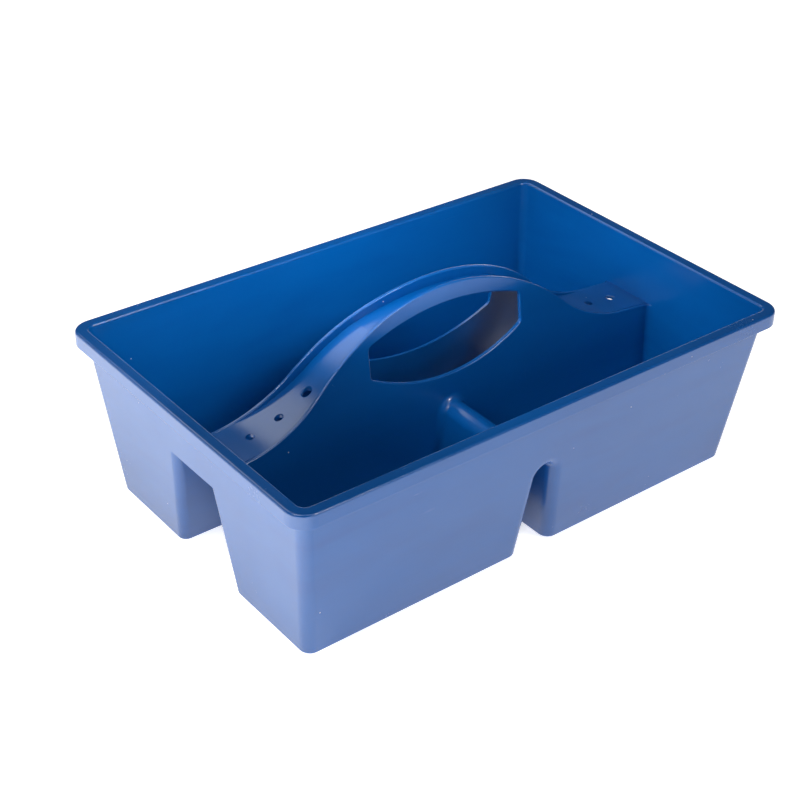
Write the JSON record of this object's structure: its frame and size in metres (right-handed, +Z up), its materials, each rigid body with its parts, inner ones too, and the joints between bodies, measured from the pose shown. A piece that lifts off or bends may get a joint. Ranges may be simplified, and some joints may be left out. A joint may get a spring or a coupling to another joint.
{
  "type": "cleaning caddy",
  "caption": "Open housekeeping caddy: drafted tub split into bays by a hollow spine that rises into an arched carrying handle.",
  "frame": {"origin": "middle of the footprint, on the surface that the caddy stands on", "axes": "+X along the long side and the handle, -Y towards the side with the two small bays and the notch, +Z up"},
  "size_m": [0.4, 0.2638, 0.152],
  "materials": {
    "blue_plastic": "semi-gloss injection-moulded polypropylene, royal blue"
  },
  "bodies": {
    "root": {"rear_bay": "blue_plastic", "front_left_bay": "blue_plastic", "front_right_bay": "blue_plastic", "upper_wall": "blue_plastic", "rim": "blue_plastic", "spine_front_wall": "blue_plastic", "spine_rear_wall": "blue_plastic", "grip_web": "blue_plastic", "left_strap": "blue_plastic", "right_strap": "blue_plastic", "divider_cap": "blue_plastic"}
  },
  "joints": []
}
